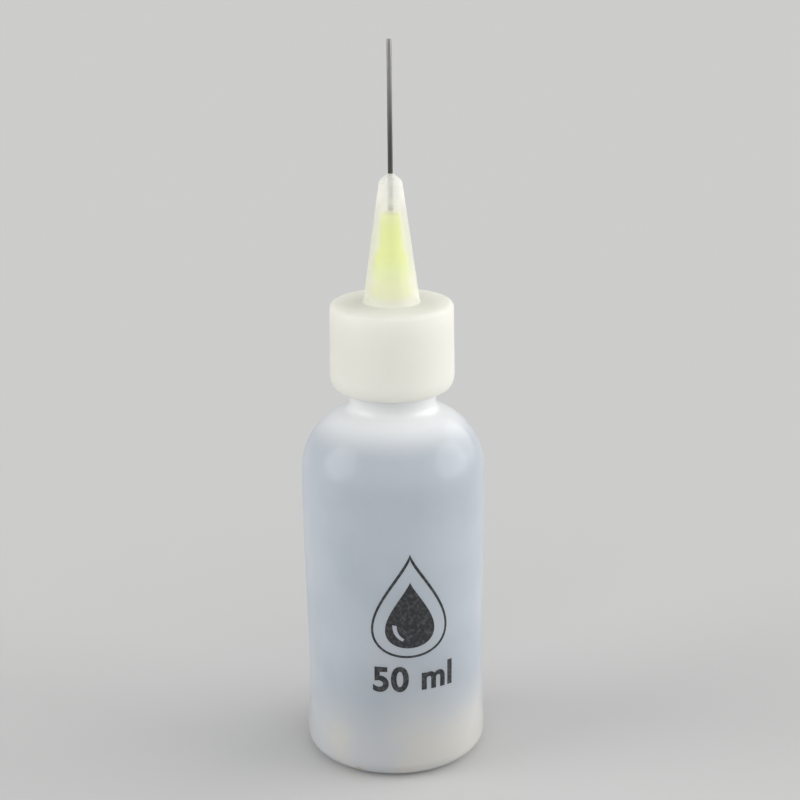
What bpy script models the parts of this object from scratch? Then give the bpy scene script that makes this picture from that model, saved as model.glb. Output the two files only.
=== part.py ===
"""Needle-tip glue applicator bottle, 50 ml: a squeeze bottle, a screw cap with a conical spout,
a sealing washer, and a blunt steel needle bonded into a moulded hub inside the spout.

Lengths are in millimetres here and become metres in the mesh. The origin is the centre of the
ring that the bottle stands on, +Z runs up through the needle, and the printed side faces -Y.
"""

import math

import bmesh
import bpy
from mathutils import Matrix, Vector

MM = 0.001

# Driving dimensions.
BODY_RADIUS = 17.5
OVERALL_HEIGHT = 138.0
CAP_TOP_Z = 90.0
CAP_HEIGHT = 16.5
CONE_TIP_Z = 113.7
THREAD_PITCH = 3.175

# Bottle: body, shoulder and base.
BOTTLE_WALL = 1.0
WAIST_RADIUS = 17.15
WAIST_Z = 19.0
HEEL_RADIUS = 17.4
HEEL_IN = 4.1
HEEL_UP = 3.1
SHOULDER_Z = 57.5
SHOULDER_HEIGHT = 12.3
SHOULDER_CROWN_RADIUS = 6.4
SHOULDER_FULLNESS = 1.9
PUSH_UP_RADIUS = 10.2
PUSH_UP_HEIGHT = 2.0

# Bottle: neck.
NECK_RADIUS = 8.2
NECK_BORE_RADIUS = 6.7
NECK_FILLET = 1.8
NECK_FILLET_END = 250
INNER_NECK_FILLET = 1.2
RIM_Z = 87.0
RIM_ROUND = 0.3

# Screw thread. The ridge on the neck and the ridge in the cap share one helix.
NECK_RIDGE_HEIGHT = 1.25
NECK_RIDGE_ROOT = 2.2
NECK_RIDGE_CREST = 1.0
CAP_RIDGE_HEIGHT = 1.2
CAP_RIDGE_ROOT = 1.8
CAP_RIDGE_CREST = 0.8
THREAD_TURNS = 1.5
NECK_THREAD_Z = 79.7
CAP_THREAD_DROP = 1.48
RIDGE_FADE = math.radians(35)
RIDGE_BURY = 0.4

# Cap and cone.
CAP_RADIUS_TOP = 11.55
CAP_RADIUS_BOTTOM = 11.7
CAP_BORE_RADIUS = 9.9
CAP_TOP_WALL = 1.6
CAP_TOP_ROUND = 1.1
CAP_BOTTOM_IN = 1.6
CAP_BOTTOM_UP = 3.0
CONE_BASE_RADIUS = 5.28
CONE_TIP_RADIUS = 2.28
CONE_DOME_IN = 2.1
CONE_DOME_UP = 2.2
CONE_FILLET = 0.3
CONE_WALL = 1.0
CONE_CAVITY_TOP_Z = 108.6
CONE_CAVITY_CHAMFER = 1.0

# Sealing washer.
WASHER_OUTER_RADIUS = 9.5
WASHER_INNER_RADIUS = 6.2
WASHER_THICKNESS = 1.2

# Needle and hub. The needle is 20 gauge, 38 mm long.
NEEDLE_RADIUS = 0.455
NEEDLE_BORE_RADIUS = 0.3
NEEDLE_LENGTH = 38.0
HUB_TOP_Z = 106.5
HUB_BOTTOM_Z = 91.0
HUB_FLANGE_RADIUS = 3.8
HUB_FLANGE_HEIGHT = 1.5
HUB_BARREL_RADIUS = 3.0
HUB_LAND_LOW_Z = 95.0
HUB_LAND_HIGH_Z = 98.6
HUB_NOSE_FOOT_Z = 100.2
HUB_NOSE_RADIUS = 2.1
HUB_NOSE_TIP_RADIUS = 1.75
HUB_STEP = 0.8
HUB_TOP_CHAMFER = 0.2
SOCKET_MOUTH_RADIUS = 2.15
SOCKET_END_RADIUS = 1.92
SOCKET_DEPTH = 7.4
FEED_RADIUS = 0.42
GLUE_WELL_RADIUS = 1.0
GLUE_WELL_DEPTH = 1.6
GLUE_MENISCUS = 0.7

# Gaps: where a piece is pressed or bonded in, and where one piece turns inside another.
PRESS_GAP = 0.05
RUNNING_GAP = 0.1

SEGMENTS = 48
FINE_SEGMENTS = 24


def clear_scene():
    for obj in list(bpy.data.objects):
        bpy.data.objects.remove(obj)


def finish(name, colour, roughness, metallic=0.0):
    """A Principled material."""
    material = bpy.data.materials.new(name)
    material.use_nodes = True
    shader = material.node_tree.nodes["Principled BSDF"]
    shader.inputs["Base Color"].default_value = (*colour, 1.0)
    shader.inputs["Roughness"].default_value = roughness
    shader.inputs["Metallic"].default_value = metallic
    return material


def arc(centre, radii, start, end, steps):
    """Points (r, z) along an elliptical arc. Angles are in degrees from the outward direction."""
    points = []
    for i in range(steps + 1):
        angle = math.radians(start + (end - start) * i / steps)
        points.append((centre[0] + radii[0] * math.cos(angle), centre[1] + radii[1] * math.sin(angle)))
    return points


def solid(name, bm, material):
    """A smooth-shaded object from a closed bmesh that is in millimetres."""
    bmesh.ops.remove_doubles(bm, verts=bm.verts, dist=1e-5)
    bmesh.ops.recalc_face_normals(bm, faces=bm.faces)
    bmesh.ops.transform(bm, matrix=Matrix.Scale(MM, 4), verts=bm.verts)
    mesh = bpy.data.meshes.new(name)
    bm.to_mesh(mesh)
    bm.free()
    mesh.shade_smooth()
    mesh.set_sharp_from_angle(angle=math.radians(35))
    mesh.materials.append(material)
    obj = bpy.data.objects.new(name, mesh)
    bpy.context.scene.collection.objects.link(obj)
    return obj


def turned(name, outline, material, segments=SEGMENTS, ring=True):
    """The outline, (r, z) points, spun about Z. A ring's outline closes, and any other ends on the axis."""
    bm = bmesh.new()
    verts = [bm.verts.new((r, 0, z)) for r, z in outline]
    for a, b in zip(verts, verts[1:]):
        bm.edges.new((a, b))
    if ring:
        bm.edges.new((verts[-1], verts[0]))
    bmesh.ops.spin(
        bm,
        geom=[*bm.verts, *bm.edges],
        cent=(0, 0, 0),
        axis=(0, 0, 1),
        angle=math.tau,
        steps=segments,
        use_merge=True,
    )
    return solid(name, bm, material)


def helix_ridge(name, wall_radius, height, root_width, crest_width, start_z, start_turn, material):
    """A thread ridge on a wall, outwards for a positive height and inwards for a negative one.

    Its section is a trapezoid that is swept up a right-handed helix and sinks into the wall at both ends.
    """
    buried = wall_radius - math.copysign(RIDGE_BURY, height)
    crest = wall_radius + height
    section = (
        (buried, -root_width / 2),
        (crest, -crest_width / 2),
        (crest, crest_width / 2),
        (buried, root_width / 2),
    )
    steps = round(THREAD_TURNS * SEGMENTS)
    sweep = THREAD_TURNS * math.tau
    turn = Matrix.Rotation(start_turn * math.tau, 3, "Z")
    bm = bmesh.new()
    verts = [bm.verts.new(turn @ Vector((r, 0, start_z + z))) for r, z in section]
    face = bm.faces.new(verts)
    bmesh.ops.spin(
        bm,
        geom=[face, *face.edges, *face.verts],
        cent=(0, 0, 0),
        axis=(0, 0, 1),
        dvec=(0, 0, THREAD_PITCH / SEGMENTS),
        angle=sweep,
        steps=steps,
    )
    for vert in bm.verts:
        radius = vert.co.xy.length
        if abs(radius - crest) > RIDGE_BURY / 2:
            continue
        angle = math.atan2(vert.co.y, vert.co.x) - start_turn * math.tau
        climbed = (vert.co.z - start_z) * math.tau / THREAD_PITCH
        along = angle + math.tau * round((climbed - angle) / math.tau)
        share = min(1.0, max(0.0, min(along, sweep - along) / RIDGE_FADE))
        faded = wall_radius - math.copysign(RIDGE_BURY / 2, height)
        vert.co.xy *= (faded + (crest - faded) * math.sin(share * math.pi / 2)) / radius
    return solid(name, bm, material)


def join_ridge(body, ridge):
    """Boolean union of a thread ridge with the wall it stands on."""
    union = body.modifiers.new("thread", "BOOLEAN")
    union.operation = "UNION"
    union.solver = "EXACT"
    union.object = ridge
    ridge.hide_render = True
    ridge.display_type = "WIRE"


def body_radius(z):
    """Outer radius of the body: a slight waist between the heel and the shoulder."""
    far = SHOULDER_Z if z > WAIST_Z else HEEL_UP
    end = BODY_RADIUS if z > WAIST_Z else HEEL_RADIUS
    share = (z - WAIST_Z) / (far - WAIST_Z)
    return WAIST_RADIUS + (end - WAIST_RADIUS) * (0.5 - 0.5 * math.cos(math.pi * share))


def shoulder(inset, lowest_radius, steps):
    """The domed shoulder as a superellipse, from the body up to the neck, offset inwards by inset."""
    crown = SHOULDER_CROWN_RADIUS
    out, up = BODY_RADIUS - inset - crown, SHOULDER_HEIGHT - inset
    points = []
    last = math.acos(((lowest_radius - crown) / out) ** (SHOULDER_FULLNESS / 2))
    for i in range(steps + 1):
        angle = last * i / steps
        points.append(
            (
                crown + out * math.cos(angle) ** (2 / SHOULDER_FULLNESS),
                SHOULDER_Z + up * math.sin(angle) ** (2 / SHOULDER_FULLNESS),
            )
        )
    return points


def bottle_outline():
    """Outer skin from the middle of the base to the rim, then the inner skin back down."""
    stand = HEEL_RADIUS - HEEL_IN
    dome = [
        (PUSH_UP_RADIUS * s, PUSH_UP_HEIGHT * (0.5 + 0.5 * math.cos(math.pi * s)))
        for s in (0, 0.25, 0.5, 0.75, 1)
    ]
    heel = arc((stand, HEEL_UP), (HEEL_IN, HEEL_UP), -90, 0, 6)
    heights = [HEEL_UP + (SHOULDER_Z - HEEL_UP) * i / 6 for i in range(1, 6)]
    body = [(body_radius(z), z) for z in heights]
    fillet_end = math.radians(NECK_FILLET_END)
    domed = shoulder(0, NECK_RADIUS + NECK_FILLET * (1 + math.cos(fillet_end)), 9)
    fillet_z = domed[-1][1] - NECK_FILLET * math.sin(fillet_end)
    fillet = arc(
        (NECK_RADIUS + NECK_FILLET, fillet_z),
        (NECK_FILLET, NECK_FILLET),
        NECK_FILLET_END,
        180,
        4,
    )[1:]
    outer_lip = arc((NECK_RADIUS - RIM_ROUND, RIM_Z - RIM_ROUND), (RIM_ROUND, RIM_ROUND), 0, 90, 2)
    outer = [*dome, *heel, *body, *domed, *fillet, *outer_lip]

    wall = BOTTLE_WALL
    inner_shoulder = shoulder(wall, NECK_BORE_RADIUS + INNER_NECK_FILLET, 6)
    inner_body = [(r - wall, z) for r, z in body]
    inner_heel = arc((stand, HEEL_UP + wall), (HEEL_IN - wall, HEEL_UP), -90, 0, 4)
    inner_dome = [(r, z + wall) for r, z in dome]
    inner = [
        (NECK_BORE_RADIUS, RIM_Z),
        (NECK_BORE_RADIUS, inner_shoulder[-1][1] + INNER_NECK_FILLET),
        *reversed(inner_shoulder),
        *reversed(inner_body),
        *reversed(inner_heel),
        *reversed(inner_dome),
    ]
    return [*outer, *inner]


def bottle():
    """Blow-moulded squeeze bottle with a push-up base and a threaded neck."""
    polythene = finish("bottle_polythene", (0.62, 0.65, 0.70), 0.35)
    body = turned("bottle", bottle_outline(), polythene, ring=False)
    ridge = helix_ridge(
        "neck_thread_helper",
        NECK_RADIUS,
        NECK_RIDGE_HEIGHT,
        NECK_RIDGE_ROOT,
        NECK_RIDGE_CREST,
        NECK_THREAD_Z,
        0.0,
        polythene,
    )
    join_ridge(body, ridge)


def cone_radius(z):
    """Outer radius of the conical spout at a height."""
    share = (z - CAP_TOP_Z) / (CONE_TIP_Z - CONE_DOME_UP - CAP_TOP_Z)
    return CONE_BASE_RADIUS + (CONE_TIP_RADIUS - CONE_BASE_RADIUS) * share


def cap_outline():
    """Section of the cap and its spout: outside from the needle hole down, then the inside back up."""
    hole = NEEDLE_RADIUS + PRESS_GAP
    cap_bottom = CAP_TOP_Z - CAP_HEIGHT
    dome_centre = (CONE_TIP_RADIUS - CONE_DOME_IN, CONE_TIP_Z - CONE_DOME_UP)
    dome_start = math.degrees(math.acos((hole - dome_centre[0]) / CONE_DOME_IN))
    dome = arc(dome_centre, (CONE_DOME_IN, CONE_DOME_UP), dome_start, 0, 6)
    fillet_r = CONE_BASE_RADIUS + CONE_FILLET
    cone_foot = arc((fillet_r, CAP_TOP_Z + CONE_FILLET), (CONE_FILLET, CONE_FILLET), 180, 270, 3)
    top_edge = arc(
        (CAP_RADIUS_TOP - CAP_TOP_ROUND, CAP_TOP_Z - CAP_TOP_ROUND),
        (CAP_TOP_ROUND, CAP_TOP_ROUND),
        90,
        0,
        4,
    )
    bottom_edge = arc(
        (CAP_RADIUS_BOTTOM - CAP_BOTTOM_IN, cap_bottom + CAP_BOTTOM_UP),
        (CAP_BOTTOM_IN, CAP_BOTTOM_UP),
        0,
        -90,
        5,
    )
    ceiling = CAP_TOP_Z - CAP_TOP_WALL
    return [
        *dome,
        *cone_foot,
        *top_edge,
        *bottom_edge,
        (CAP_BORE_RADIUS, cap_bottom),
        (CAP_BORE_RADIUS, ceiling),
        (cone_radius(ceiling) - CONE_WALL, ceiling),
        (cone_radius(CONE_CAVITY_TOP_Z) - CONE_WALL, CONE_CAVITY_TOP_Z),
        (hole, CONE_CAVITY_TOP_Z + CONE_CAVITY_CHAMFER),
    ]


def screw_cap():
    """Injection-moulded screw cap and spout in one piece, threaded inside."""
    polythene = finish("cap_polythene", (0.76, 0.76, 0.68), 0.32)
    cap = turned("screw_cap", cap_outline(), polythene)
    ridge = helix_ridge(
        "cap_thread_helper",
        CAP_BORE_RADIUS,
        -CAP_RIDGE_HEIGHT,
        CAP_RIDGE_ROOT,
        CAP_RIDGE_CREST,
        NECK_THREAD_Z - CAP_THREAD_DROP - THREAD_PITCH / 2,
        -0.5,
        polythene,
    )
    join_ridge(cap, ridge)


def sealing_washer():
    """Soft flat ring squeezed between the neck's rim and the cap's ceiling."""
    foam = finish("washer_foam", (0.80, 0.80, 0.78), 0.8)
    low = RIM_Z + RUNNING_GAP
    high = low + WASHER_THICKNESS
    outline = [
        (WASHER_INNER_RADIUS, low),
        (WASHER_OUTER_RADIUS, low),
        (WASHER_OUTER_RADIUS, high),
        (WASHER_INNER_RADIUS, high),
    ]
    turned("sealing_washer", outline, foam)


def needle_hub():
    """Moulded hub wedged in the spout: a wide socket below, and a narrow nose that holds the needle."""
    tinted = finish("hub_plastic", (0.62, 0.72, 0.12), 0.35)
    needle_foot = OVERALL_HEIGHT - NEEDLE_LENGTH
    seat = NEEDLE_RADIUS + PRESS_GAP
    flange_top = HUB_BOTTOM_Z + HUB_FLANGE_HEIGHT

    def fits(z):
        return cone_radius(z) - CONE_WALL - PRESS_GAP * 2

    outline = [
        (SOCKET_MOUTH_RADIUS, HUB_BOTTOM_Z),
        (HUB_FLANGE_RADIUS, HUB_BOTTOM_Z),
        (HUB_FLANGE_RADIUS, flange_top),
        (HUB_BARREL_RADIUS, flange_top + HUB_STEP),
        (HUB_BARREL_RADIUS, HUB_LAND_LOW_Z - HUB_STEP / 2),
        (fits(HUB_LAND_LOW_Z), HUB_LAND_LOW_Z),
        (fits(HUB_LAND_HIGH_Z), HUB_LAND_HIGH_Z),
        (HUB_NOSE_RADIUS, HUB_NOSE_FOOT_Z),
        (HUB_NOSE_TIP_RADIUS, HUB_TOP_Z - HUB_TOP_CHAMFER),
        (HUB_NOSE_TIP_RADIUS - HUB_TOP_CHAMFER, HUB_TOP_Z),
        (GLUE_WELL_RADIUS, HUB_TOP_Z),
        (GLUE_WELL_RADIUS, HUB_TOP_Z - GLUE_WELL_DEPTH),
        (seat, HUB_TOP_Z - GLUE_WELL_DEPTH),
        (seat, needle_foot - PRESS_GAP),
        (FEED_RADIUS, needle_foot - PRESS_GAP),
        (FEED_RADIUS, HUB_BOTTOM_Z + SOCKET_DEPTH),
        (SOCKET_END_RADIUS, HUB_BOTTOM_Z + SOCKET_DEPTH),
    ]
    turned("needle_hub", outline, tinted, FINE_SEGMENTS)


def hub_adhesive():
    """Cured adhesive that fills the hub's well and climbs the needle in a small meniscus."""
    resin = finish("adhesive_resin", (0.78, 0.80, 0.62), 0.15)
    inner = NEEDLE_RADIUS + PRESS_GAP
    outer = GLUE_WELL_RADIUS - PRESS_GAP
    floor = HUB_TOP_Z - GLUE_WELL_DEPTH + PRESS_GAP
    outline = [
        (inner, floor),
        (outer, floor),
        (outer, HUB_TOP_Z),
        ((inner * 2 + outer) / 3, HUB_TOP_Z + GLUE_MENISCUS / 3),
        (inner, HUB_TOP_Z + GLUE_MENISCUS),
    ]
    turned("hub_adhesive", outline, resin, FINE_SEGMENTS)


def needle_tube():
    """Blunt stainless steel tube, cut square at both ends."""
    steel = finish("needle_steel", (0.60, 0.59, 0.57), 0.22, 1.0)
    foot = OVERALL_HEIGHT - NEEDLE_LENGTH
    outline = [
        (NEEDLE_BORE_RADIUS, foot),
        (NEEDLE_RADIUS, foot),
        (NEEDLE_RADIUS, OVERALL_HEIGHT),
        (NEEDLE_BORE_RADIUS, OVERALL_HEIGHT),
    ]
    turned("needle_tube", outline, steel, FINE_SEGMENTS)


def main():
    clear_scene()
    bottle()
    screw_cap()
    sealing_washer()
    needle_hub()
    hub_adhesive()
    needle_tube()


main()
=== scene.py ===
"""The looks of a needle-tip glue bottle: a soft polythene bottle with its ink print, a sealing washer,
a screw cap with its spout, and the hub, resin and steel needle inside it.

Outlines are (radius, height) points in millimetres, and become metres as each piece is finished. The
materials measure in metres, and their heights are named as (start, end) pairs.
"""

import math

import bmesh
import bpy
from mathutils import Matrix, Vector, noise


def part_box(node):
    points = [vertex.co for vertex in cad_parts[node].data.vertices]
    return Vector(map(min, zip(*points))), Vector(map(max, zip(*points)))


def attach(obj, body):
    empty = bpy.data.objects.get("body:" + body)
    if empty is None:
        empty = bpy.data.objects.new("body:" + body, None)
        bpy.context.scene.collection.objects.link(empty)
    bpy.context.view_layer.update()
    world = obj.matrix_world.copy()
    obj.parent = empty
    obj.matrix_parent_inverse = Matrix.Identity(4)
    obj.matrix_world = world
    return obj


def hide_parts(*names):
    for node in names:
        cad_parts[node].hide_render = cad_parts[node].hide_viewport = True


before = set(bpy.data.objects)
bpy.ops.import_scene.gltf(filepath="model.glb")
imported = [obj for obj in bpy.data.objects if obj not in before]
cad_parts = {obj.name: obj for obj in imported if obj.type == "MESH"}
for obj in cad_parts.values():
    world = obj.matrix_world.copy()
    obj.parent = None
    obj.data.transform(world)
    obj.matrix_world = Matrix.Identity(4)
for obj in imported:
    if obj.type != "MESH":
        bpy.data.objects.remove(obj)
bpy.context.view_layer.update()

# Studio: a pale floor that runs past the horizon, a soft lamp low on the left and one low on the right,
# a weaker one behind on the right, a broad fill from the front, and a camera that looks a little down.
FLOOR_COLOUR = (0.515, 0.515, 0.515, 1.0)
FLOOR_SIZE = 8.0
ROOM_COLOUR = (0.985, 0.99, 1.0, 1.0)
ROOM_STRENGTH = 0.58
CAMERA_PLACE = (0.0014, -0.3230, 0.1718)
CAMERA_DOWN = math.radians(17.36)
CAMERA_ROLL = math.radians(-0.5)
CAMERA_LENS = 80.7
CAMERA_SENSOR = 36.0
CAMERA_NEAR = 0.01
# Each lamp's name, bearing from the front, height, strength and spread, with the angles in degrees.
LAMPS = (
    ("left_lamp", -76, 20, 1.65, 46),
    ("right_lamp", 86, 17, 2.0, 48),
    ("right_rim", 122, 20, 0.85, 42),
    ("front_fill", 15, 6, 1.6, 110),
)
LAMP_COLOUR = (1.0, 0.99, 0.97)


class Signal:
    """A socket of a material's nodes. Sums on signals add Math nodes to the same material."""

    def __init__(self, tree, socket=None):
        self.tree = tree
        self.socket = socket

    def node(self, kind, settings=None, values=None, output=0):
        """A node of any kind, with its settings made first, then the values or links of its sockets."""
        made = self.tree.nodes.new(kind)
        for name, value in (settings or {}).items():
            setattr(made, name, value)
        for name, value in (values or {}).items():
            if isinstance(value, Signal):
                self.tree.links.new(value.socket, made.inputs[name])
            else:
                made.inputs[name].default_value = value
        return Signal(self.tree, made.outputs[output] if made.outputs else None)

    def sum(self, operation, a, b):
        return self.node("ShaderNodeMath", {"operation": operation}, {0: a, 1: b})

    def __add__(self, other):
        return self.sum("ADD", self, other)

    def __sub__(self, other):
        return self.sum("SUBTRACT", self, other)

    def __rsub__(self, other):
        return self.sum("SUBTRACT", other, self)

    def __mul__(self, other):
        return self.sum("MULTIPLY", self, other)

    __radd__ = __add__
    __rmul__ = __mul__

    def along(self, axis):
        """One coordinate of this signal, X, Y or Z."""
        return self.node("ShaderNodeSeparateXYZ", None, {0: self}, output=axis)

    def stretched(self, *scale):
        """These coordinates with each axis multiplied by its own number."""
        return self.node("ShaderNodeVectorMath", {"operation": "MULTIPLY"}, {0: self, 1: scale})

    def fit(self, low, high, new_low=0.0, new_high=1.0):
        """This signal's stretch from low to high, eased onto new_low to new_high and held there."""
        return self.node(
            "ShaderNodeMapRange",
            {"interpolation_type": "SMOOTHSTEP"},
            {"Value": self, 1: low, 2: high, 3: new_low, 4: new_high},
        )

    def grain(self, scale, detail=2.0):
        """Noise on this signal as coordinates, from 0 to 1."""
        return self.node("ShaderNodeTexNoise", None, {"Vector": self, "Scale": scale, "Detail": detail})

    def tint(self, first, second):
        """A colour that goes from first to second as this signal goes from 0 to 1."""
        return self.node(
            "ShaderNodeMix",
            {"data_type": "RGBA"},
            {"Factor": self, 6: first, 7: second},
            output=2,
        )

    def bump(self, strength, distance):
        return self.node(
            "ShaderNodeBump", None, {"Height": self, "Strength": strength, "Distance": distance}
        )

    def mix(self, first, second):
        """One shader turning into another as this signal goes from 0 to 1."""
        return self.node("ShaderNodeMixShader", None, {0: self, 1: first, 2: second})

    def surface(self, **values):
        """A Principled shader, with underscores for the spaces in its sockets' names."""
        named = {name.replace("_", " "): value for name, value in values.items()}
        return self.node("ShaderNodeBsdfPrincipled", None, named)


def new_finish(name):
    """An empty material, and a signal that is its Object coordinates."""
    made = bpy.data.materials.new(name)
    made.use_nodes = True
    made.node_tree.nodes.clear()
    return made, Signal(made.node_tree).node("ShaderNodeTexCoord", output="Object")


floor_finish, place = new_finish("studio_floor")
shader = place.node("ShaderNodeBsdfDiffuse", None, {"Color": FLOOR_COLOUR})
place.node("ShaderNodeOutputMaterial", None, {"Surface": shader})
floor_bm = bmesh.new()
bmesh.ops.create_grid(floor_bm, x_segments=1, y_segments=1, size=FLOOR_SIZE)
floor_mesh = bpy.data.meshes.new("floor")
floor_bm.to_mesh(floor_mesh)
floor_bm.free()
floor_mesh.materials.append(floor_finish)
floor = bpy.data.objects.new("floor", floor_mesh)
bpy.context.scene.collection.objects.link(floor)

world = bpy.data.worlds.new("studio_room")
world.use_nodes = True
world.node_tree.nodes["Background"].inputs["Color"].default_value = ROOM_COLOUR
world.node_tree.nodes["Background"].inputs["Strength"].default_value = ROOM_STRENGTH
bpy.context.scene.world = world

for name, bearing, rise, strength, spread in LAMPS:
    lamp = bpy.data.lights.new(name, "SUN")
    lamp.angle = math.radians(spread)
    lamp.energy = strength
    lamp.color = LAMP_COLOUR
    bearing, rise = math.radians(bearing), math.radians(rise)
    towards = Vector((math.sin(bearing), -math.cos(bearing), math.tan(rise)))
    stand = bpy.data.objects.new(name, lamp)
    stand.matrix_world = towards.to_track_quat("Z", "Y").to_matrix().to_4x4()
    bpy.context.scene.collection.objects.link(stand)

camera = bpy.data.cameras.new("camera")
camera.sensor_width = CAMERA_SENSOR
camera.lens = CAMERA_LENS
camera.clip_start = CAMERA_NEAR
viewer = bpy.data.objects.new("camera", camera)
viewer.matrix_world = (
    Matrix.Translation(CAMERA_PLACE)
    @ Matrix.Rotation(math.pi / 2 - CAMERA_DOWN, 4, "X")
    @ Matrix.Rotation(CAMERA_ROLL, 4, "Z")
)
bpy.context.scene.collection.objects.link(viewer)
bpy.context.scene.camera = viewer
bpy.context.scene.view_settings.view_transform = "Standard"

# Bottle: blow-moulded low-density polythene, milky and soft enough to squeeze. The mould halves leave
# a fine line up each side, a tan nub at the foot of one line, and a pinched scar across the pushed-up
# base. The neck's thread is moulded in.
MM = 1000.0
NEAR = 0.01
BODY_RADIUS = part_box("bottle")[1][0] * MM
RIM_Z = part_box("bottle")[1][2] * MM
BOTTLE_SIDES = 288
WALL = 1.0
WAIST_RADIUS, WAIST_Z = 17.15, 19.0
HEEL_RADIUS, HEEL_IN, HEEL_UP = 17.4, 4.1, 3.1
SHOULDER_Z, SHOULDER_HEIGHT, SHOULDER_CROWN, SHOULDER_FULLNESS = 57.5, 12.3, 6.4, 1.9
PUSH_UP_RADIUS, PUSH_UP_HEIGHT = 10.2, 2.0
NECK_RADIUS, NECK_BORE, RIM_ROUND = 8.2, 6.7, 0.3
NECK_FILLET, NECK_FILLET_END, INNER_NECK_FILLET = 1.8, 250, 1.2
NECK_FOOT_Z = 73.0
THREAD_PITCH, THREAD_TURNS, THREAD_FADE = 3.175, 1.5, math.radians(35)
NECK_THREAD_Z, NECK_RIDGE, NECK_RIDGE_ROOT, NECK_RIDGE_CREST = 79.7, 1.25, 1.92, 1.0
SEAM_TURN = math.radians(-115.2)
SEAM_HEIGHT, SEAM_WIDTH = 0.03, 0.35
SCAR_HEIGHT, SCAR_WIDTH, SCAR_LENGTH, SCAR_FADE = 0.35, 0.45, 8.0, 1.5
NUB_HEIGHT, NUB_SIZE, NUB_IN, NUB_Z = 0.5, 0.8, 0.6, 1.5
SOFT_LOW, SOFT_HIGH, SOFT_FADE = 8.0, SHOULDER_Z + 8.0, 12.0
WAVE_DEPTH, WAVE_LENGTH, WAVE_TALL, WAVE_START = 0.07, 14.0, 22.4, (3.1, 7.7)
SAG_DEPTH, SAG_Z, SAG_TALL = 0.25, 17.0, 14.0
MILK_DEEP, MILK_PALE = (0.53, 0.565, 0.60, 1), (0.61, 0.635, 0.665, 1)
MILK_NECK_LIT, FOOT_GLOW_COOL, FOOT_GLOW_WARM = (0.93, 0.93, 0.92, 1), (0.52, 0.53, 0.545, 1), (0.58, 0.565, 0.53, 1)
NUB_TAN, NUB_STAIN = (0.42, 0.33, 0.22, 1), (0.0004, 0.0010)
MILK_GLOW, MILK_CLEAR = (0.84, 0.87, 0.90, 1), (0.86, 0.89, 0.92, 1)
NECK_THICK_AND_LIT, FOOT_CLEARS, FOOT_RAGGED = (0.0635, 0.0695), (-0.001, 0.015), 0.010
SHEER_FRONT, SHEER_SIDE, SHEER_NECK, SHEER_FOOT = 0.42, 0.04, 0.3, 0.26


def arc(centre, radii, start, end, steps):
    """Points along an elliptical arc. Angles are in degrees from the outward direction."""
    points = []
    for i in range(steps + 1):
        angle = math.radians(start + (end - start) * i / steps)
        points.append((centre[0] + radii[0] * math.cos(angle), centre[1] + radii[1] * math.sin(angle)))
    return points


def run(start, end, step):
    """Points on a straight line from start to end, about a step apart, both ends included."""
    count = max(1, round(math.dist(start, end) / step))
    shares = [i / count for i in range(count + 1)]
    return [(start[0] + (end[0] - start[0]) * s, start[1] + (end[1] - start[1]) * s) for s in shares]


def eased(share):
    share = min(1.0, max(0.0, share))
    return share * share * (3 - 2 * share)


def turned(outline, segments, closed=True):
    """The outline spun about the upright axis: a bmesh in millimetres, closed as a ring or on the axis."""
    bm = bmesh.new()
    verts = [bm.verts.new((r, 0, z)) for r, z in outline]
    for a, b in zip(verts, verts[1:]):
        bm.edges.new((a, b))
    if closed:
        bm.edges.new((verts[-1], verts[0]))
    bmesh.ops.spin(
        bm,
        geom=[*bm.verts, *bm.edges],
        cent=(0, 0, 0),
        axis=(0, 0, 1),
        angle=math.tau,
        steps=segments,
        use_merge=True,
    )
    bmesh.ops.remove_doubles(bm, verts=bm.verts, dist=1e-4)
    bmesh.ops.recalc_face_normals(bm, faces=bm.faces)
    bm.normal_update()
    return bm


def piece(name, bm, finish, body, sharp=40):
    """A smooth-shaded object in metres, with its place in its mesh, that rides on a body."""
    bmesh.ops.transform(bm, matrix=Matrix.Scale(1 / MM, 4), verts=bm.verts)
    mesh = bpy.data.meshes.new(name)
    bm.to_mesh(mesh)
    bm.free()
    mesh.shade_smooth()
    mesh.set_sharp_from_angle(angle=math.radians(sharp))
    mesh.materials.append(finish)
    made = bpy.data.objects.new(name, mesh)
    bpy.context.scene.collection.objects.link(made)
    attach(made, body)
    return made


def thread_height(spot, start_z, start_angle, root, crest):
    """From 0 to 1, how far a point is up the side of a right-handed thread ridge, faded at its ends."""
    angle = math.atan2(spot.y, spot.x) - start_angle
    climbed = (spot.z - start_z) * math.tau / THREAD_PITCH
    along = angle + math.tau * round((climbed - angle) / math.tau)
    away = abs(spot.z - start_z - along * THREAD_PITCH / math.tau)
    fade = min(along, THREAD_TURNS * math.tau - along) / THREAD_FADE
    flank = eased((root / 2 - away) / (root / 2 - crest / 2))
    return flank * math.sin(min(1, max(0, fade)) * math.pi / 2)


def body_radius(z):
    """Outer radius of the body: a slight waist between the heel and the shoulder."""
    far, end = (SHOULDER_Z, BODY_RADIUS) if z > WAIST_Z else (HEEL_UP, HEEL_RADIUS)
    share = (z - WAIST_Z) / (far - WAIST_Z)
    return WAIST_RADIUS + (end - WAIST_RADIUS) * (0.5 - 0.5 * math.cos(math.pi * share))


def shoulder(inset, lowest_radius, steps):
    """The domed shoulder, from the body up to the neck, offset inwards by inset."""
    out, up = BODY_RADIUS - inset - SHOULDER_CROWN, SHOULDER_HEIGHT - inset
    power = 2 / SHOULDER_FULLNESS
    last = math.acos(((lowest_radius - SHOULDER_CROWN) / out) ** (1 / power))
    turns = [last * i / steps for i in range(steps + 1)]
    return [
        (SHOULDER_CROWN + out * math.cos(t) ** power, SHOULDER_Z + up * math.sin(t) ** power) for t in turns
    ]


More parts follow.
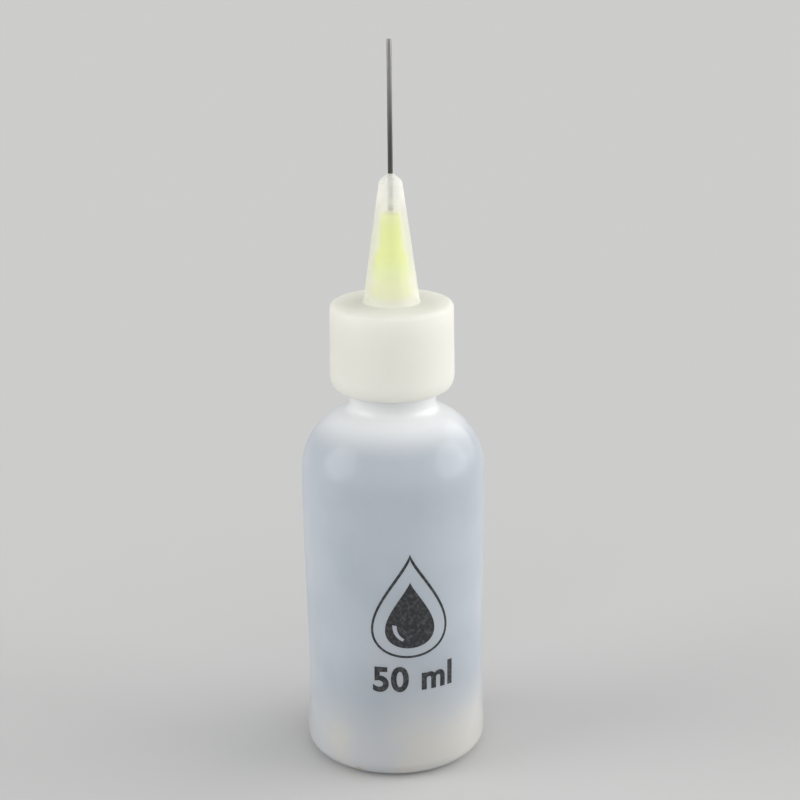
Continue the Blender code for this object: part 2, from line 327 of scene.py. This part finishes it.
def softness(angle, z):
    """How far the soft wall stands from a true circle: long shallow waves, and a slight sag on the left."""
    give = eased(z / SOFT_LOW) * eased((SOFT_HIGH - z) / SOFT_FADE)
    way = Vector((math.cos(angle), math.sin(angle), 0)) * (BODY_RADIUS / WAVE_LENGTH)
    wave = noise.noise(way + Vector((*WAVE_START, z / WAVE_TALL)))
    left = max(0.0, -math.cos(angle)) ** 2
    sag = math.exp(-(((z - SAG_Z) / SAG_TALL) ** 2)) * left
    return give * (WAVE_DEPTH * wave - SAG_DEPTH * sag)


def bottle_outline():
    """Outer skin from the middle of the base to the rim, then the inner skin back down."""
    stand = HEEL_RADIUS - HEEL_IN
    shares = [i / 24 for i in range(25)]
    dome = [(PUSH_UP_RADIUS * s, PUSH_UP_HEIGHT * (0.5 + 0.5 * math.cos(math.pi * s))) for s in shares]
    foot = run((PUSH_UP_RADIUS, 0.0), (stand, 0.0), 1.0)[1:-1]
    heel = arc((stand, HEEL_UP), (HEEL_IN, HEEL_UP), -90, 0, 14)
    heights = [HEEL_UP + (SHOULDER_Z - HEEL_UP) * i / 44 for i in range(1, 44)]
    body = [(body_radius(z), z) for z in heights]
    fillet_end = math.radians(NECK_FILLET_END)
    domed = shoulder(0, NECK_RADIUS + NECK_FILLET * (1 + math.cos(fillet_end)), 26)
    fillet_centre = (NECK_RADIUS + NECK_FILLET, domed[-1][1] - NECK_FILLET * math.sin(fillet_end))
    fillet = arc(fillet_centre, (NECK_FILLET, NECK_FILLET), NECK_FILLET_END, 180, 8)[1:]
    neck = run(fillet[-1], (NECK_RADIUS, RIM_Z - RIM_ROUND), 0.16)[1:-1]
    lip = arc((NECK_RADIUS - RIM_ROUND, RIM_Z - RIM_ROUND), (RIM_ROUND, RIM_ROUND), 0, 90, 4)
    inner_shoulder = shoulder(WALL, NECK_BORE + INNER_NECK_FILLET, 16)
    inner_neck = run((NECK_BORE, RIM_Z), (NECK_BORE, inner_shoulder[-1][1] + INNER_NECK_FILLET), 1.5)
    return [
        *dome,
        *foot,
        *heel,
        *body,
        *domed,
        *fillet,
        *neck,
        *lip,
        *inner_neck,
        *reversed(inner_shoulder),
        *reversed([(r - WALL, z) for r, z in body[::2]]),
        *reversed(arc((stand, HEEL_UP + WALL), (HEEL_IN - WALL, HEEL_UP), -90, 0, 8)),
        *reversed([(r, z + WALL) for r, z in dome[::2]]),
    ]


bottle_bm = turned(bottle_outline(), BOTTLE_SIDES, closed=False)
seam_way = Vector((math.cos(SEAM_TURN), math.sin(SEAM_TURN), 0))
seam_side = Vector((-seam_way.y, seam_way.x, 0))
nub_spot = seam_way * (HEEL_RADIUS - NUB_IN) + Vector((0, 0, NUB_Z))
for vert in bottle_bm.verts:
    radius = vert.co.xy.length
    around = Vector((vert.co.x, vert.co.y, 0))
    off_seam = abs(vert.co.dot(seam_side))
    if abs(radius - NECK_RADIUS) < NEAR and vert.co.z > NECK_FOOT_Z:
        height = thread_height(vert.co, NECK_THREAD_Z, 0.0, NECK_RIDGE_ROOT, NECK_RIDGE_CREST)
        vert.co.xy *= 1 + NECK_RIDGE * height / radius
    elif radius > HEEL_RADIUS - HEEL_IN and vert.co.z < SOFT_HIGH:
        offset = softness(math.atan2(vert.co.y, vert.co.x), vert.co.z)
        if vert.normal.dot(around) > 0:
            offset += SEAM_HEIGHT * max(0.0, 1 - off_seam / SEAM_WIDTH)
            offset += NUB_HEIGHT * eased(1 - (vert.co - nub_spot).length / NUB_SIZE)
        vert.co.xy *= 1 + offset / radius
    elif radius < SCAR_LENGTH and vert.normal.z < -0.5:
        ends = eased((SCAR_LENGTH - radius) / SCAR_FADE)
        vert.co.z -= SCAR_HEIGHT * ends * eased(1 - off_seam / SCAR_WIDTH)
bottle_finish, place = new_finish("milky_polythene")
height = place.along("Z")
cloud = place.grain(70.0, 3.0)
# Towards the neck the milk turns near white: partly the thicker wall, partly painted light over the cap's
# shadow and a painted reflection on the shoulder's top.
neck_thick_and_lit = height.fit(*NECK_THICK_AND_LIT)
low = (height - place.grain(45.0) * FOOT_RAGGED).fit(*FOOT_CLEARS)
colour = cloud.fit(0.3, 0.7).tint(MILK_DEEP, MILK_PALE)
# Round the foot the colour is a painted glow: warm and cool patches that stand for the lit base seen
# through the wall.
foot = place.grain(60.0).fit(0.42, 0.60).tint(FOOT_GLOW_COOL, FOOT_GLOW_WARM)
colour = neck_thick_and_lit.tint(low.tint(foot, colour), MILK_NECK_LIT)
off_nub = place.node("ShaderNodeVectorMath", {"operation": "DISTANCE"}, {0: place, 1: nub_spot / MM}, 1)
milk = place.surface(
    Base_Color=off_nub.fit(*NUB_STAIN).tint(NUB_TAN, colour),
    Roughness=cloud.fit(0.3, 0.7, 0.17, 0.24),
    IOR=1.6,
    Normal=place.grain(2600.0, 3.0).bump(0.15, 0.00004),
)
glow = place.node("ShaderNodeBsdfTranslucent", None, {"Color": MILK_GLOW})
clear = place.node("ShaderNodeBsdfTransparent", None, {"Color": MILK_CLEAR})
body = low.fit(0.0, 1.0, 0.25, 0.40).mix(milk, glow)
facing = place.node("ShaderNodeLayerWeight", None, {"Blend": 0.35}, output="Facing")
sheer = facing.fit(0.0, 0.9, SHEER_FRONT, SHEER_SIDE) - neck_thick_and_lit * SHEER_NECK - (1 - low) * SHEER_FOOT
shader = sheer.mix(body, clear)
place.node("ShaderNodeOutputMaterial", None, {"Surface": shader})
bottle = piece("bottle_body", bottle_bm, bottle_finish, "bottle", sharp=60)
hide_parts("bottle")

# Print: black screen ink on the front of the body, a drop in a drop-shaped line over the volume in
# millilitres. The film is a few hundredths of a millimetre thick and wraps round the soft wall.
PRINT_LEAN = 3.0
FILM_BACK, FILM_FRONT = 0.01, 0.04
SLICE = 0.6
DROP_Z, DROP_WIDTH, DROP_HEIGHT, DROP_LINE = 36.0, 15.0, 21.0, 0.45
DROP_POINT, DROP_SWELL = 1.6, 0.7246
CORE_WIDTH, CORE_HEIGHT, CORE_DROP = 9.6, 13.4, 1.8
GLINT_RADIUS, GLINT_WIDTH = 3.4, 0.8
VOLUME_Z, VOLUME_SIZE, VOLUME_WEIGHT, VOLUME_SHIFT, VOLUME_SPACING = 20.9, 6.9, 0.030, 0.8, 1.06
INK_BLACK, INK_WORN = (0.010, 0.011, 0.013, 1), (0.050, 0.052, 0.056, 1)


def drop(width, height, low, count=72):
    """A drop's outline, pointed at the top. DROP_SWELL brings its widest part to the width given."""
    points = []
    for i in range(count):
        turn = math.tau * i / count
        swell = math.sin(turn) * math.sin(turn / 2) ** DROP_POINT
        points.append((width * DROP_SWELL * swell, height / 2 * math.cos(turn) - low))
    return points


def glint(radius, width, centre_y, count=12):
    """A crescent low on the left of a drop, between two arcs."""
    outer = arc((0, centre_y), (radius, radius), 175, 245, count)
    inner = arc((0, centre_y), (radius - width, radius - width * 0.6), 243, 177, count)
    return [*outer, *inner]


def filled(bm, *loops):
    """The flat area between closed outlines, added to a bmesh."""
    edges = []
    for loop in loops:
        verts = [bm.verts.new((x, y, 0)) for x, y in loop]
        edges += [bm.edges.new((a, b)) for a, b in zip(verts, [*verts[1:], verts[0]])]
    bmesh.ops.triangle_fill(bm, use_beauty=True, edges=edges, normal=(0, 0, 1))


def wrap(bm, centre_x, centre_z):
    """Turns a flat sheet of ink into a thin film round the bottle's wall."""
    bmesh.ops.remove_doubles(bm, verts=bm.verts, dist=0.005)
    raised = bmesh.ops.extrude_face_region(bm, geom=bm.faces[:])["geom"]
    for vert in (v for v in raised if isinstance(v, bmesh.types.BMVert)):
        vert.co.z = FILM_FRONT - FILM_BACK
    left = min(v.co.x for v in bm.verts)
    right = max(v.co.x for v in bm.verts)
    for i in range(1, math.ceil((right - left) / SLICE)):
        bmesh.ops.bisect_plane(
            bm,
            geom=[*bm.verts, *bm.edges, *bm.faces],
            plane_co=(left + i * SLICE, 0, 0),
            plane_no=(1, 0, 0),
        )
    bmesh.ops.recalc_face_normals(bm, faces=bm.faces)
    for vert in bm.verts:
        x, z, lift = vert.co.x + centre_x, vert.co.y + centre_z, vert.co.z + FILM_BACK
        angle = x / BODY_RADIUS - math.pi / 2
        radius = body_radius(z) + softness(angle, z) + lift
        vert.co = (radius * math.cos(angle), radius * math.sin(angle), z)
    bmesh.ops.recalc_face_normals(bm, faces=bm.faces)


ink_finish, place = new_finish("black_ink")
mottle = place.grain(1500.0, 4.0)
shader = place.surface(
    Base_Color=mottle.fit(0.42, 0.72).tint(INK_BLACK, INK_WORN),
    Roughness=mottle.fit(0.3, 0.7, 0.32, 0.5),
    Normal=place.grain(5200.0).bump(0.2, 0.00002),
)
place.node("ShaderNodeOutputMaterial", None, {"Surface": shader})
drop_bm = bmesh.new()
filled(
    drop_bm,
    drop(DROP_WIDTH, DROP_HEIGHT, 0),
    drop(DROP_WIDTH - DROP_LINE * 2, DROP_HEIGHT - DROP_LINE * 3.4, DROP_LINE * 0.7),
)
filled(
    drop_bm,
    drop(CORE_WIDTH, CORE_HEIGHT, CORE_DROP),
    glint(GLINT_RADIUS, GLINT_WIDTH, -CORE_DROP - CORE_HEIGHT * 0.16),
)
wrap(drop_bm, PRINT_LEAN, DROP_Z)
piece("ink_drop", drop_bm, ink_finish, "bottle")

text = bpy.data.curves.new("volume", "FONT")
text.body = "50 ml"
text.size = VOLUME_SIZE
text.offset = VOLUME_WEIGHT * VOLUME_SIZE
text.space_character = VOLUME_SPACING
text.align_x = "CENTER"
text.align_y = "CENTER"
lettering = bpy.data.objects.new("volume", text)
bpy.context.scene.collection.objects.link(lettering)
bpy.context.view_layer.update()
volume_bm = bmesh.new()
flat = lettering.evaluated_get(bpy.context.evaluated_depsgraph_get()).to_mesh()
volume_bm.from_mesh(flat)
bpy.data.objects.remove(lettering)
wrap(volume_bm, PRINT_LEAN + VOLUME_SHIFT, VOLUME_Z)
piece("ink_volume", volume_bm, ink_finish, "bottle")

# Sealing washer: a soft ring of closed-cell foam, squeezed between the neck's rim and the ceiling of
# the cap. Its edges are rounded by the punch, and it turns freely when the cap does.
WASHER_LOW, WASHER_HIGH = (corner[2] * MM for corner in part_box("sealing_washer"))
WASHER_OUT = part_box("sealing_washer")[1][0] * MM
WASHER_IN = 6.2
WASHER_ROUND = 0.25
WASHER_SIDES = 144
FOAM_GREY, FOAM_WHITE = (0.70, 0.70, 0.67, 1), (0.80, 0.80, 0.78, 1)
corners = (
    (WASHER_IN + WASHER_ROUND, WASHER_LOW + WASHER_ROUND, 180),
    (WASHER_OUT - WASHER_ROUND, WASHER_LOW + WASHER_ROUND, 270),
    (WASHER_OUT - WASHER_ROUND, WASHER_HIGH - WASHER_ROUND, 0),
    (WASHER_IN + WASHER_ROUND, WASHER_HIGH - WASHER_ROUND, 90),
)
washer_outline = []
for r, z, start in corners:
    washer_outline += arc((r, z), (WASHER_ROUND, WASHER_ROUND), start, start + 90, 4)
foam_finish, place = new_finish("white_foam")
cells = place.node("ShaderNodeTexVoronoi", None, {"Vector": place, "Scale": 3200.0})
shader = place.surface(
    Base_Color=place.grain(300.0).tint(FOAM_GREY, FOAM_WHITE),
    Roughness=0.85,
    Normal=cells.bump(0.5, 0.00008),
)
place.node("ShaderNodeOutputMaterial", None, {"Surface": shader})
washer_bm = turned(washer_outline, WASHER_SIDES)
washer = piece("foam_washer", washer_bm, foam_finish, "washer")
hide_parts("sealing_washer")

# Cap and spout: one injection moulding in ivory polythene. The cone holds the needle's hub, a small
# raised lip grips the needle, and the bore's thread runs between the turns of the neck's.
CAP_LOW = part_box("screw_cap")[0][2] * MM
CAP_BOTTOM_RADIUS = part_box("screw_cap")[1][0] * MM
CAP_TOP, CAP_TOP_RADIUS, CAP_TOP_ROUND, CAP_TOP_WALL = 90.0, 11.55, 1.1, 1.6
CAP_BOTTOM_IN, CAP_BOTTOM_UP, CAP_BORE = 1.6, 3.0, 9.9
CONE_FOOT, CONE_END, CONE_END_Z, CONE_FILLET, CONE_WALL = 5.28, 2.28, 111.5, 0.3, 1.0
CONE_DOME_IN, CONE_DOME_UP = 2.1, 2.2
CONE_HOLLOW_Z, CONE_HOLLOW_CHAMFER = 108.6, 1.0
NEEDLE_HOLE, LIP_HEIGHT, LIP_WIDTH, LIP_EDGE, LIP_DIP = 0.505, 0.40, 0.36, 0.06, 0.02
CAP_THREAD_Z, CAP_RIDGE, CAP_RIDGE_ROOT, CAP_RIDGE_CREST = 76.6325, 1.2, 1.55, 0.8
CAP_MOUTH_ROUND = 0.25
CAP_SIDES = 240
IVORY_DEEP, IVORY_PALE = (0.83, 0.825, 0.775, 1), (0.89, 0.885, 0.84, 1)
IVORY_GLOW, IVORY_CLEAR = (0.99, 0.99, 0.96, 1), (1.0, 1.0, 0.97, 1)
CONE_THINS, CONE_CLEARS, TIP_THICKENS = (0.0895, 0.0925), (0.094, 0.100), (0.107, 0.110)


def cone_radius(z):
    """Outer radius of the spout's cone."""
    return CONE_FOOT + (CONE_END - CONE_FOOT) * (z - CAP_TOP) / (CONE_END_Z - CAP_TOP)


def cap_outline():
    """The cap and spout from the needle's hole down the outside, then back up the inside."""
    dome_centre = (CONE_END - CONE_DOME_IN, CONE_END_Z)
    lip_foot = NEEDLE_HOLE + LIP_WIDTH
    dome_start = math.degrees(math.acos((lip_foot - dome_centre[0]) / CONE_DOME_IN))
    dome = arc(dome_centre, (CONE_DOME_IN, CONE_DOME_UP), dome_start, 0, 14)
    lip_top = dome[0][1] + LIP_HEIGHT
    foot_z = CAP_TOP + CONE_FILLET
    cone = run(dome[-1], (cone_radius(foot_z), foot_z), 1.0)[1:-1]
    foot = arc((cone_radius(foot_z) + CONE_FILLET, foot_z), (CONE_FILLET, CONE_FILLET), 180, 270, 5)
    edge_centre = (CAP_TOP_RADIUS - CAP_TOP_ROUND, CAP_TOP - CAP_TOP_ROUND)
    top_edge = arc(edge_centre, (CAP_TOP_ROUND, CAP_TOP_ROUND), 90, 0, 10)
    deck = run(foot[-1], top_edge[0], 1.0)[1:-1]
    low_edge_centre = (CAP_BOTTOM_RADIUS - CAP_BOTTOM_IN, CAP_LOW + CAP_BOTTOM_UP)
    low_edge = arc(low_edge_centre, (CAP_BOTTOM_IN, CAP_BOTTOM_UP), 0, -90, 12)
    side = run(top_edge[-1], low_edge[0], 1.0)[1:-1]
    mouth_centre = (CAP_BORE + CAP_MOUTH_ROUND, CAP_LOW + CAP_MOUTH_ROUND)
    mouth = arc(mouth_centre, (CAP_MOUTH_ROUND, CAP_MOUTH_ROUND), 270, 180, 3)
    ceiling = CAP_TOP - CAP_TOP_WALL
    hollow = [(cone_radius(z) - CONE_WALL, z) for z in (ceiling, CONE_HOLLOW_Z)]
    return [
        (NEEDLE_HOLE, lip_top - LIP_EDGE),
        (NEEDLE_HOLE + LIP_EDGE, lip_top),
        (NEEDLE_HOLE + LIP_WIDTH * 0.4, lip_top - LIP_DIP),
        (NEEDLE_HOLE + LIP_WIDTH * 0.7, dome[0][1] + LIP_HEIGHT * 0.4),
        *dome,
        *cone,
        *foot,
        *deck,
        *top_edge,
        *side,
        *low_edge,
        *mouth[:-1],
        *run((CAP_BORE, CAP_LOW + CAP_MOUTH_ROUND), (CAP_BORE, ceiling), 0.2),
        *run(*hollow, 1.5),
        (NEEDLE_HOLE, CONE_HOLLOW_Z + CONE_HOLLOW_CHAMFER),
    ]


cap_bm = turned(cap_outline(), CAP_SIDES)
for vert in cap_bm.verts:
    radius = vert.co.xy.length
    if abs(radius - CAP_BORE) < NEAR:
        height = thread_height(vert.co, CAP_THREAD_Z, -math.pi, CAP_RIDGE_ROOT, CAP_RIDGE_CREST)
        vert.co.xy *= 1 - CAP_RIDGE * height / radius
ivory_finish, place = new_finish("ivory_polythene")
height = place.along("Z")
cloud = place.grain(110.0, 3.0)
flow = place.stretched(1, 1, 0.12).grain(420.0)
ivory = place.surface(
    Base_Color=cloud.tint(IVORY_DEEP, IVORY_PALE),
    Roughness=flow.fit(0.3, 0.7, 0.42, 0.54),
    IOR=1.5,
    Normal=place.grain(3000.0, 3.0).bump(0.12, 0.00004),
)
glow = place.node("ShaderNodeBsdfTranslucent", None, {"Color": IVORY_GLOW})
clear = place.node("ShaderNodeBsdfTransparent", None, {"Color": IVORY_CLEAR})
wall = place.node("ShaderNodeMixShader", None, {0: 0.45, 1: ivory, 2: glow})
thin = height.fit(*CONE_THINS, 0.12, 0.50) + height.fit(*CONE_CLEARS, 0.0, 0.16)
shader = (thin - height.fit(*TIP_THICKENS, 0.0, 0.22)).mix(wall, clear)
place.node("ShaderNodeOutputMaterial", None, {"Surface": shader})
cap = piece("cap_and_spout", cap_bm, ivory_finish, "cap", sharp=35)
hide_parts("screw_cap")

# Needle hub: a yellow-green polypropylene moulding wedged in the cone. A flange and a wide socket face
# the bottle, and a narrow nose holds the needle, with a well round it at the top for the resin.
HUB_LOW, HUB_HIGH = (corner[2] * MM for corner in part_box("needle_hub"))
HUB_FLANGE, HUB_FLANGE_HEIGHT, HUB_BARREL, HUB_STEP = 3.8, 1.5, 3.0, 0.8
HUB_LAND_LOW, HUB_LAND_HIGH, HUB_CLEARANCE = 95.0, 98.6, 1.1
HUB_NOSE_Z, HUB_NOSE, HUB_NOSE_TIP, HUB_ROUND = 100.2, 2.1, 1.75, 0.2
SOCKET_MOUTH, SOCKET_END, SOCKET_DEPTH, FEED = 2.15, 1.92, 7.4, 0.42
WELL, WELL_DEPTH, NEEDLE_FOOT, SEAT_GAP = 1.0, 1.6, 100.0, 0.05
TINT_THIN, TINT_DEEP, TINT_FULL = (0.88, 0.91, 0.52, 1), (0.78, 0.88, 0.06, 1), (0.84, 0.92, 0.10, 1)
TINT_GLOW, TINT_CLEAR = (0.88, 0.95, 0.12, 1), (0.97, 0.99, 0.70, 1)
TINT_DEEPENS, TINT_FADES = (0.092, 0.101), (0.1042, 0.1054)
HUB_SIDES = 96
flange_top = HUB_LOW + HUB_FLANGE_HEIGHT
land = [(cone_radius(z) - HUB_CLEARANCE, z) for z in (HUB_LAND_LOW, HUB_LAND_HIGH)]
socket_top = HUB_LOW + SOCKET_DEPTH
hub_outline = [
    (SOCKET_MOUTH, HUB_LOW + HUB_ROUND),
    (SOCKET_MOUTH + HUB_ROUND, HUB_LOW),
    *arc((HUB_FLANGE - HUB_ROUND, HUB_LOW + HUB_ROUND), (HUB_ROUND, HUB_ROUND), -90, 0, 4),
    *arc((HUB_FLANGE - HUB_ROUND, flange_top - HUB_ROUND), (HUB_ROUND, HUB_ROUND), 0, 60, 4),
    (HUB_BARREL, flange_top + HUB_STEP),
    (HUB_BARREL, HUB_LAND_LOW - HUB_STEP / 2),
    *run(*land, 0.6),
    *run((HUB_NOSE, HUB_NOSE_Z), (HUB_NOSE_TIP, HUB_HIGH - HUB_ROUND), 1.0),
    *arc((HUB_NOSE_TIP - HUB_ROUND, HUB_HIGH - HUB_ROUND), (HUB_ROUND, HUB_ROUND), 0, 90, 4)[1:],
    (WELL, HUB_HIGH),
    (WELL, HUB_HIGH - WELL_DEPTH),
    (NEEDLE_HOLE, HUB_HIGH - WELL_DEPTH),
    (NEEDLE_HOLE, NEEDLE_FOOT - SEAT_GAP),
    (FEED, NEEDLE_FOOT - SEAT_GAP),
    (FEED, socket_top),
    (SOCKET_END, socket_top),
]
hub_finish, place = new_finish("yellow_green_polypropylene")
shade = place.grain(350.0, 3.0)
height = place.along("Z")
solid = height.fit(*TINT_DEEPENS) - height.fit(*TINT_FADES, 0.0, 0.55)
tinted = place.surface(
    Base_Color=solid.tint(TINT_THIN, shade.tint(TINT_DEEP, TINT_FULL)),
    Roughness=shade.fit(0.3, 0.7, 0.25, 0.35),
    IOR=1.49,
    Normal=place.grain(4000.0).bump(0.1, 0.00003),
)
glow = place.node("ShaderNodeBsdfTranslucent", None, {"Color": TINT_GLOW})
clear = place.node("ShaderNodeBsdfTransparent", None, {"Color": TINT_CLEAR})
wall = place.node("ShaderNodeMixShader", None, {0: 0.5, 1: tinted, 2: glow})
edge = place.node("ShaderNodeLayerWeight", None, {"Blend": 0.5}, output="Facing")
shader = edge.fit(0.15, 0.95, 0.08, 0.75).mix(wall, clear)
place.node("ShaderNodeOutputMaterial", None, {"Surface": shader})
hub = piece("tinted_hub", turned(hub_outline, HUB_SIDES), hub_finish, "cap")
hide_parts("needle_hub")

# Adhesive: a ring of clear resin poured into the hub's well round the needle. It climbs the steel in a
# small meniscus, and sits level with the hub's top at its edge.
RESIN_LOW, RESIN_HIGH = (corner[2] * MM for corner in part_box("hub_adhesive"))
RESIN_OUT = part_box("hub_adhesive")[1][0] * MM
RESIN_DEEP, RESIN_PALE = (0.80, 0.82, 0.58, 1), (0.88, 0.90, 0.68, 1)
RESIN_CLEAR = (0.97, 0.97, 0.86, 1)
meniscus = RESIN_HIGH - HUB_HIGH
climb = arc((RESIN_OUT, RESIN_HIGH), (RESIN_OUT - NEEDLE_HOLE, meniscus), -90, -180, 8)
resin_outline = [(NEEDLE_HOLE, RESIN_LOW), (RESIN_OUT, RESIN_LOW), *climb]
resin_finish, place = new_finish("cured_resin")
syrup = place.grain(900.0)
cured = place.surface(
    Base_Color=syrup.tint(RESIN_DEEP, RESIN_PALE),
    Roughness=place.grain(1800.0).fit(0.3, 0.7, 0.10, 0.18),
    IOR=1.5,
)
clear = place.node("ShaderNodeBsdfTransparent", None, {"Color": RESIN_CLEAR})
shader = syrup.fit(0.2, 0.8, 0.45, 0.60).mix(cured, clear)
place.node("ShaderNodeOutputMaterial", None, {"Surface": shader})
resin = piece("resin_ring", turned(resin_outline, HUB_SIDES), resin_finish, "cap")
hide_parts("hub_adhesive")

# Needle: a drawn tube of stainless steel, cut square, with its edges just broken and its bore open to
# the socket. It is polished round and round, which draws light out along it, and its colour is darkened
# lower down as painted shade.
NEEDLE_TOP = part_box("needle_tube")[1][2] * MM
NEEDLE_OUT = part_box("needle_tube")[1][0] * MM
NEEDLE_BORE, NEEDLE_BREAK = 0.3, 0.035
STEEL_PAINTED_SHADE = (0.08, 0.079, 0.077, 1)
STEEL_DEEP, STEEL_PALE = (0.22, 0.215, 0.21, 1), (0.30, 0.295, 0.285, 1)
STEEL_SHADE_FADES = (0.117, 0.137)
NEEDLE_SIDES = 64
edge_round, edge_z = (NEEDLE_BREAK, NEEDLE_BREAK), NEEDLE_TOP - NEEDLE_BREAK
needle_outline = [
    (NEEDLE_BORE + NEEDLE_BREAK, NEEDLE_FOOT),
    (NEEDLE_OUT - NEEDLE_BREAK, NEEDLE_FOOT),
    *run((NEEDLE_OUT, NEEDLE_FOOT + NEEDLE_BREAK), (NEEDLE_OUT, edge_z), 1.5),
    *arc((NEEDLE_OUT - NEEDLE_BREAK, edge_z), edge_round, 0, 90, 3)[1:],
    *arc((NEEDLE_BORE + NEEDLE_BREAK, edge_z), edge_round, 90, 180, 3),
    (NEEDLE_BORE, NEEDLE_FOOT + NEEDLE_BREAK),
]
steel_finish, place = new_finish("drawn_steel")
lines = place.stretched(1, 1, 0.01).grain(6000.0, 3.0)
patch = place.stretched(1, 1, 0.3).grain(500.0)
# Painted shade: the steel's colour darkens towards the spout's tip and below it.
out_of_painted_shade = place.along("Z").fit(*STEEL_SHADE_FADES)
shader = place.surface(
    Base_Color=out_of_painted_shade.tint(STEEL_PAINTED_SHADE, patch.tint(STEEL_DEEP, STEEL_PALE)),
    Metallic=1.0,
    Roughness=lines.fit(0.3, 0.7, 0.34, 0.42),
    Anisotropic=0.85,
    Anisotropic_Rotation=0.25,
    Normal=lines.bump(0.15, 0.00001),
)
place.node("ShaderNodeOutputMaterial", None, {"Surface": shader})
needle = piece("steel_needle", turned(needle_outline, NEEDLE_SIDES), steel_finish, "cap")
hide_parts("needle_tube")
